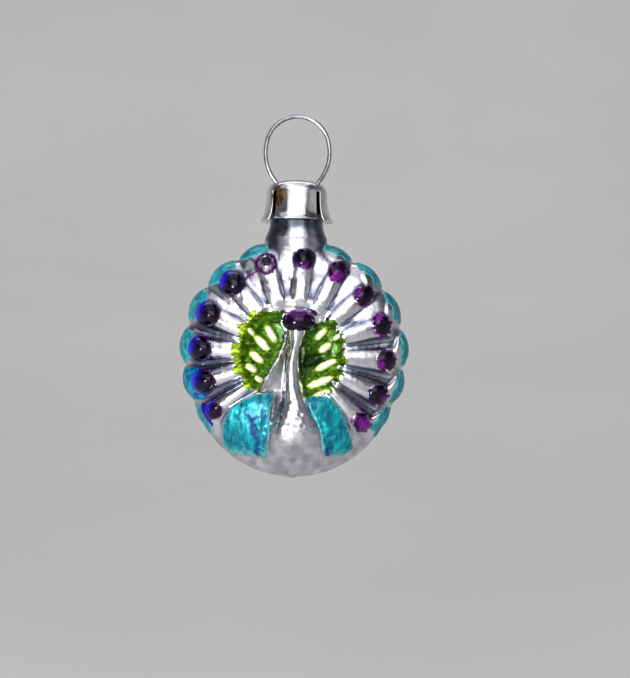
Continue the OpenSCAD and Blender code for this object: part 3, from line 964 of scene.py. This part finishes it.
def cap_mask(turn, run):
    """Cuts the two holes and the four slits, and leaves the front and back petals a little short."""
    p = on_cap(turn, run)
    away = np.abs(turn % 90 - 45)
    r = np.hypot(p[..., 0], p[..., 1])
    slit = r * np.sin(np.radians(away)) - SLIT_HALF - 0.22 * ease((run - 7) / 4)
    holes = np.minimum(*(np.hypot(p[..., 0] - h, p[..., 1]) - HOLE_R for h in (-HOLE_X, HOLE_X)))
    holes = np.where(run < 4.6, holes, 9)
    facing = ease((np.abs(np.sin(np.radians(turn))) - 0.65) / 0.1)
    end = cap_run[-1] - 0.12 - run - 0.15 * facing - 0.15 * ease((12 - away) / 12) * facing
    return np.minimum(np.minimum(np.maximum(slit, SLIT_TOP - run), holes), end)


def cap_amber(m, turn, run):
    """An amber-brown patch beside the front left slit, and a faint one opposite."""
    spot = 1.6 * bell((turn - 232) / 14, (run - 6.5) / 1.2)
    far = 0.5 * bell((turn - 300) / 7, (run - 9.6) / 0.9)
    return {"rust": np.clip(spot + far, 0, 1) * (0.8 + 0.3 * waves(turn * 0.08, run, 0.8, 600))}


cap_coats = Coats()
cap_coats.add(
    np.linspace(0, 360, 288, endpoint=False), np.linspace(0.02, cap_run[-1], 84), on_cap, cap_mask,
    lambda m, u, v: 0.012 * bell(m / 0.12), SHEET,
    lambda p: p * np.array([1, 1, 0.4]) + np.array([0, 0, 8.0]), step=0.05, extra=cap_amber, wrap=True,
)
cap = cap_coats.piece("Cap", "cap", "tinplate", "cap")


# ---- wire hanger

WIRE_R = 0.32


def wire_path():
    """Half the wire's centre line, from the top of the loop to the end of a leg: x and z."""
    # Arcs have a radius, negative when they bend back, and a sweep in degrees; runs have a length.
    stretches = [("arc", 4.85, 78), ("run", 0.3), ("arc", 7.0, 50.5), ("run", 0.3), ("arc", -1.3, 38.5),
                 ("run", 10.81), ("arc", -30.0, 9)]
    x, z, heading = 0.0, 0.3, 0.0  # heading in degrees below +X
    line = [(x, z)]
    for kind, size, *sweep in stretches:
        if kind == "run":
            steps, bend = max(2, int(size / 0.5)), 0.0
            chord = size / steps
        else:
            steps = max(4, int(sweep[0] / 3))
            bend = math.copysign(sweep[0] / steps, size)
            chord = 2 * abs(size) * math.sin(math.radians(abs(bend) / 2))
        for _ in range(steps):
            heading += bend / 2
            x += chord * math.cos(math.radians(heading))
            z -= chord * math.sin(math.radians(heading))
            heading += bend / 2
            line.append((x, z))
    return line


def tube(line, radius, sides):
    """A closed round tube along points in the XZ plane, with rounded ends."""
    line = np.array(line)
    ahead = np.gradient(line, axis=0)
    ahead /= np.linalg.norm(ahead, axis=1, keepdims=True)
    out = np.stack([-ahead[:, 1], ahead[:, 0]], -1)

    def rounding(end, way):
        return [(line[end] + way * ahead[end] * radius * 0.5 * math.sin(t), out[end], radius * math.cos(t))
                for t in (0.45, 0.9, 1.35)]

    cuts = rounding(0, -1)[::-1] + [(p, o, radius) for p, o in zip(line, out)] + rounding(-1, 1)
    verts = []
    for p, o, r in cuts:
        for k in range(sides):
            c, s = math.cos(2 * math.pi * k / sides), math.sin(2 * math.pi * k / sides)
            verts.append((p[0] + o[0] * r * c, r * s, p[1] + o[1] * r * c))
    faces = ring_faces(len(cuts), sides)
    faces.append(list(range(sides)))
    faces.append([(len(cuts) - 1) * sides + k for k in range(sides)][::-1])
    return verts, faces


half_line = wire_path()
whole_line = [(-x, z) for x, z in reversed(half_line[1:])] + half_line
wire_verts, wire_faces = tube(whole_line, WIRE_R, 20)
wire = make_piece("Hanger_wire", wire_verts, wire_faces, "hanger")
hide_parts("hanger_wire")


# ---- materials

class Look:
    """A node material with one Principled shader and short-hand for its inputs."""

    def __init__(self, name, **values):
        self.mat = bpy.data.materials.new(name)
        self.mat.use_nodes = True
        self.tree = self.mat.node_tree
        self.shader = self.tree.nodes["Principled BSDF"]
        for key, value in values.items():
            self.set(key, value)

    def set(self, key, value):
        socket = self.shader.inputs[key.replace("_", " ").title().replace("Ior", "IOR")]
        self.feed(socket, value)

    def feed(self, socket, value):
        if isinstance(value, bpy.types.NodeSocket):
            self.tree.links.new(value, socket)
        else:
            socket.default_value = value

    def node(self, kind, inputs=None, **props):
        node = self.tree.nodes.new(kind)
        for key, value in props.items():
            setattr(node, key, value)
        for key, value in (inputs or {}).items():
            self.feed(node.inputs[key], value)
        return node

    def place(self, scale=(1, 1, 1)):
        coord = self.node("ShaderNodeTexCoord").outputs["Object"]
        return self.node("ShaderNodeMapping", {"Vector": coord, "Scale": scale}).outputs[0]

    def noise(self, scale, detail=3, rough=0.55, stretch=(1, 1, 1), distortion=0.0):
        return self.node("ShaderNodeTexNoise", {
            "Vector": self.place(stretch), "Scale": scale, "Detail": detail, "Roughness": rough,
            "Distortion": distortion}).outputs["Fac"]

    def ramp(self, value, stops):
        node = self.node("ShaderNodeValToRGB", {"Fac": value})
        ramp = node.color_ramp
        while len(ramp.elements) < len(stops):
            ramp.elements.new(0.5)
        for element, (at, colour) in zip(ramp.elements, stops):
            element.position = at
            element.color = (*colour, 1)
        return node.outputs["Color"]

    def mix(self, share, a, b):
        node = self.node("ShaderNodeMix", data_type="RGBA")
        self.feed(node.inputs[0], share)
        for socket, value in ((node.inputs[6], a), (node.inputs[7], b)):
            self.feed(socket, value if isinstance(value, bpy.types.NodeSocket) else (*value, 1))
        return node.outputs[2]

    def scaled(self, value, low, high, start=0.0, end=1.0):
        return self.node("ShaderNodeMapRange", {
            "Value": value, "From Min": start, "From Max": end, "To Min": low, "To Max": high}).outputs[0]

    def attribute(self, name):
        return self.node("ShaderNodeAttribute", attribute_name=name).outputs["Fac"]

    def tinted(self, tone, name, most, colour, start=0.0, end=1.0):
        """The tone mixed with a colour, most where the named attribute reaches its end value."""
        return self.mix(self.scaled(self.attribute(name), 0, most, start, end), tone, colour)

    def bump(self, height, strength, distance):
        node = self.node("ShaderNodeBump", {"Height": height, "Strength": strength, "Distance": distance})
        self.set("normal", node.outputs[0])

    def on(self, *pieces):
        for piece in pieces:
            piece.data.materials.clear()
            piece.data.materials.append(self.mat)


silver = Look("Silvered_glass", metallic=1.0, coat_weight=0.15, coat_roughness=0.04)
cloud = silver.noise(420, 4, 0.6)
speck = silver.noise(2600, 3, 0.6)
grey_and_shade = silver.ramp(silver.noise(650, 4, 0.65), [
    (0.32, (0.12, 0.125, 0.14)), (0.5, (0.24, 0.24, 0.26)), (0.7, (0.38, 0.38, 0.40))])
tone = silver.ramp(cloud, [(0.3, (0.43, 0.43, 0.50)), (0.52, (0.60, 0.60, 0.66)), (0.75, (0.74, 0.74, 0.78))])
tone = silver.mix(silver.scaled(speck, 0.0, 0.35, 0.45, 0.75), tone, (0.42, 0.41, 0.47))
tone = silver.mix(silver.scaled(silver.noise(1000, 3, 0.6), 0.0, 0.45, 0.5, 0.72), tone, (0.40, 0.40, 0.47))
# Darker grey: painted shade on the neck's left flank, and mottling that grows darker towards the bottom of
# the bowl.
tone = silver.tinted(tone, "dull_and_shade", 0.75, grey_and_shade)
# Painted shade and painted dark reflections in navy, from the attribute above.
tone = silver.tinted(tone, "hollow", 0.88, (0.03, 0.035, 0.09))
tone = silver.tinted(tone, "vein", 0.97, (0.004, 0.005, 0.012))
silver.set("base_color", tone)
worn = silver.node("ShaderNodeMath", {
    0: silver.scaled(cloud, 0.13, 0.25, 0.3, 0.7), 1: silver.scaled(silver.attribute("dull_and_shade"), 0, 0.16),
}, operation="ADD")
silver.set("roughness", worn.outputs[0])
silver.bump(silver.noise(1100, 4, 0.6), 0.16, 0.0002)
silver.on(glass)

# Near black where it is thick, and purple where it is thin.
violet = Look("Violet_lacquer", metallic=0.55, coat_weight=0.4, coat_roughness=0.01, specular_ior_level=0.0)
pools = violet.ramp(violet.noise(1100, 3, 0.6, (1, 1, 1), 0.8), [
    (0.35, (0.0, 0.03, 0.16)), (0.5, (0.0, 0.12, 0.32)), (0.62, (0.01, 0.30, 0.45))])
tone = violet.ramp(violet.attribute("thin"), [
    (0.0, (0.004, 0.001, 0.008)), (0.3, (0.03, 0.001, 0.045)), (0.6, (0.09, 0.003, 0.14)),
    (0.95, (0.26, 0.012, 0.34))])
# Blue: painted sheen on the left-hand eyes, and the blue of the spilt pool and of the run beside it.
tone = violet.tinted(tone, "blue", 1, (0.02, 0.012, 0.75))
violet.set("base_color", violet.tinted(tone, "blue", 1, pools, 1.0, 1.7))
violet.set("roughness", violet.scaled(violet.noise(1900, 3), 0.06, 0.2, 0.35, 0.7))
violet.bump(violet.noise(1700, 2), 0.08, 0.0002)
violet.on(eyes, crest)

teal = Look("Teal_lacquer", metallic=0.3, coat_weight=0.06, coat_roughness=0.1, specular_ior_level=0.2)
brushed = teal.noise(620, 4, 0.6, (1.5, 1.0, 0.6), 0.6)
web = teal.ramp(teal.noise(480, 2, 0.5, (1.0, 1.0, 0.8), 0.8), [
    (0.47, (0, 0, 0)), (0.5, (0.4, 0.4, 0.4)), (0.53, (0, 0, 0))])
tone = teal.ramp(brushed, [
    (0.3, (0.0, 0.035, 0.08)), (0.45, (0.0, 0.10, 0.145)), (0.58, (0.0, 0.19, 0.225)),
    (0.74, (0.005, 0.36, 0.37))])
tone = teal.mix(web, tone, (0.03, 0.42, 0.44))
tone = teal.tinted(tone, "thin", 0.75, (0.12, 0.42, 0.45))
teal.set("base_color", teal.tinted(tone, "blue", 0.95, (0.0, 0.02, 0.12)))
teal.set("roughness", teal.scaled(brushed, 0.27, 0.42, 0.3, 0.7))
teal.bump(brushed, 0.12, 0.0002)
teal.on(wings, tips)

green = Look("Green_lacquer", metallic=0.42, coat_weight=0.08, coat_roughness=0.05, specular_ior_level=0.1)
patchy = green.noise(900, 4, 0.65)
tone = green.ramp(patchy, [
    (0.3, (0.004, 0.02, 0.0)), (0.48, (0.012, 0.05, 0.0)), (0.62, (0.035, 0.095, 0.0)),
    (0.78, (0.13, 0.22, 0.0))])
tone = green.tinted(tone, "outer", 0.4, (0.10, 0.19, 0.0))
# Painted shade in the pit and the flutes, with random darker patches.
tone = green.tinted(tone, "hollow", 0.95, (0.002, 0.012, 0.0))
# Painted highlight: lighter green, then cream, on the tops of the covert feathers.
tone = green.tinted(tone, "ridge", 0.8, (0.34, 0.50, 0.01), 0.05, 0.4)
green.set("base_color", green.tinted(tone, "ridge", 0.95, (0.75, 0.80, 0.55), 0.35, 0.6))
green.set("roughness", green.scaled(patchy, 0.27, 0.42, 0.3, 0.7))
green.bump(green.noise(2000, 2), 0.1, 0.0002)
green.on(covert)

tin = Look("Tinplate", metallic=1.0)
rust = tin.ramp(tin.noise(1300, 3, 0.6), [(0.4, (0.06, 0.03, 0.015)), (0.55, (0.42, 0.18, 0.02))])
tone = tin.ramp(tin.noise(330, 4, 0.6), [
    (0.3, (0.42, 0.27, 0.12)), (0.38, (0.60, 0.59, 0.58)), (0.6, (0.80, 0.81, 0.82))])
tin.set("base_color", tin.tinted(tone, "rust", 0.95, rust, 0.08, 0.55))
tin.set("roughness", tin.scaled(tin.noise(1500, 3, 0.6, (1, 1, 0.25)), 0.09, 0.24, 0.35, 0.7))
tin.bump(tin.noise(900, 3), 0.05, 0.0002)
tin.on(cap)

steel = Look("Spring_wire", metallic=1.0)
drawn = steel.noise(700, 2, 0.5)
steel.set("base_color", steel.ramp(drawn, [(0.3, (0.15, 0.16, 0.18)), (0.6, (0.33, 0.34, 0.37))]))
steel.set("roughness", steel.scaled(drawn, 0.16, 0.28, 0.3, 0.7))
steel.bump(drawn, 0.08, 0.0001)
steel.on(wire)


# ---- stage, lights, camera

def sweep():
    """A round pale floor that curves up to a wall far from the object on every side."""
    floor_z, reach, rise = -0.13, 1.5, 1.6
    arc = np.linspace(0, math.pi / 2, 40)
    profile = [(reach * math.sin(t), rise * (1 - math.cos(t)) ** 1.25) for t in arc]
    turns = np.linspace(0, 2 * math.pi, 96, endpoint=False)
    verts = [(r * math.cos(t), r * math.sin(t), floor_z + z) for r, z in profile for t in turns]
    mesh = bpy.data.meshes.new("Floor")
    mesh.from_pydata(verts, [], ring_faces(len(profile), len(turns)))
    mesh.shade_smooth()
    floor = add_object("Floor", mesh)
    return floor


floor = sweep()
pale = Look("Pale_floor", roughness=0.9)
pale.set("base_color", pale.ramp(pale.noise(6, 2), [(0.3, (0.53, 0.525, 0.51)), (0.7, (0.56, 0.555, 0.54))]))
pale.on(floor)

world = bpy.data.worlds.new("World")
bpy.context.scene.world = world
world.use_nodes = True
sky = world.node_tree.nodes["Background"].inputs
sky["Color"].default_value = (0.62, 0.70, 0.95, 1)
sky["Strength"].default_value = 0.15


def soft_light(name, place, aim, size, watts, colour=(1.0, 1.0, 1.0)):
    data = bpy.data.lights.new(name, "AREA")
    data.shape = "RECTANGLE"
    data.size, data.size_y = size
    data.energy = watts
    data.color = colour
    light = add_object(name, data)
    light.location = place
    direction = np.array(aim) - np.array(place)
    light.rotation_euler = Vector(direction).to_track_quat("-Z", "Y").to_euler()
    light.visible_camera = False


MIDDLE = (0.0, 0.0, -0.034)
soft_light("Key", (0.02, -0.54, 0.29), MIDDLE, (0.86, 0.76), 2.3, (1.0, 0.99, 0.97))
soft_light("Key_core", (0.02, -0.53, 0.285), MIDDLE, (0.50, 0.42), 1.9, (1.0, 0.99, 0.97))
soft_light("Low_spark", (-0.092, -0.172, -0.058), (-0.004, 0.0, -0.036), (0.068, 0.054), 0.50)
soft_light("Fill", (0.7, -0.3, 0.1), MIDDLE, (0.4, 0.5), 0.15, (0.93, 0.95, 1.0))
soft_light("Upper_left", (-0.42, -0.33, 0.78), MIDDLE, (0.8, 0.7), 0.95, (0.90, 0.90, 1.0))
soft_light("Top", (0.0, 0.1, 0.9), (0.0, 0.05, -0.034), (0.9, 1.3), 3.2)
soft_light("Backdrop", (0.0, 0.5, 0.9), (0.0, 1.4, 0.1), (1.2, 0.5), 4.4)

VIEW_H = 0.1051  # height of the picture at the object
DISTANCE = 0.2
camera_data = bpy.data.cameras.new("Camera")
camera_data.sensor_fit = "VERTICAL"
camera_data.sensor_height = 36
camera_data.lens = 36 * DISTANCE / VIEW_H
camera_data.clip_start = 0.01
camera_data.clip_end = 10
camera = add_object("Camera", camera_data)
camera.location = (0.0032, -DISTANCE, -0.0341)
camera.rotation_euler = (math.pi / 2, math.radians(-1.0), 0)
bpy.context.scene.camera = camera
bpy.context.scene.view_settings.view_transform = "Standard"
